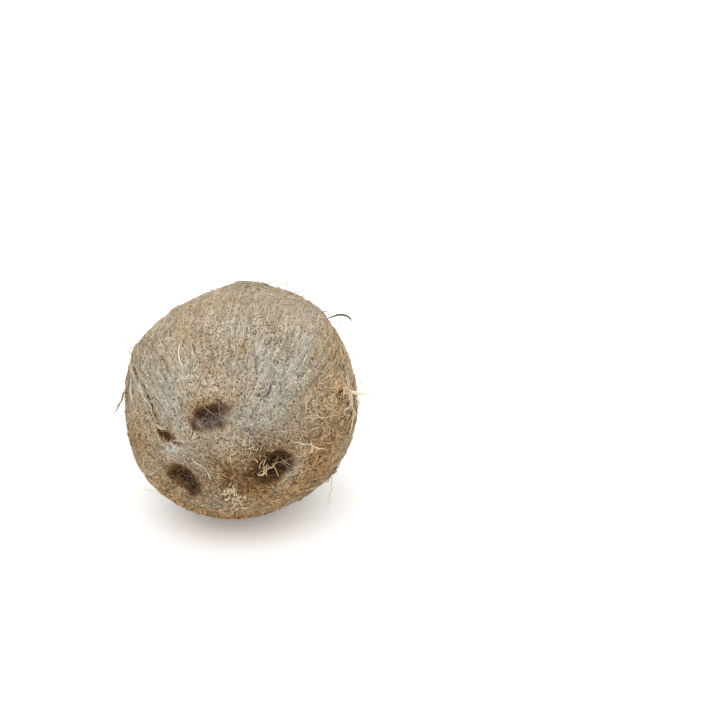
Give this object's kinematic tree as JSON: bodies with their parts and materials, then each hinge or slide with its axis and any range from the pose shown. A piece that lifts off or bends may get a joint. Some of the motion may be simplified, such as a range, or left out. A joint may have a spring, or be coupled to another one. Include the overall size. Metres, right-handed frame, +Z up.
{
  "type": "coconut",
  "caption": "Husked brown coconut lying on its side, its eye end at the front, with matted coir over a round body and a torn stub at the pointed tip.",
  "frame": {"origin": "middle of the bounding box's underside, on the surface the nut rests on", "axes": "+Z up; +Y along the nut's long axis towards the pointed tip, so the end with the eyes faces -Y; +X to the right as seen facing the eyes"},
  "size_m": [0.1118, 0.1364, 0.112],
  "materials": {
    "coir": "matt, fibrous"
  },
  "bodies": {
    "root": {"nut": "coir"}
  },
  "joints": []
}
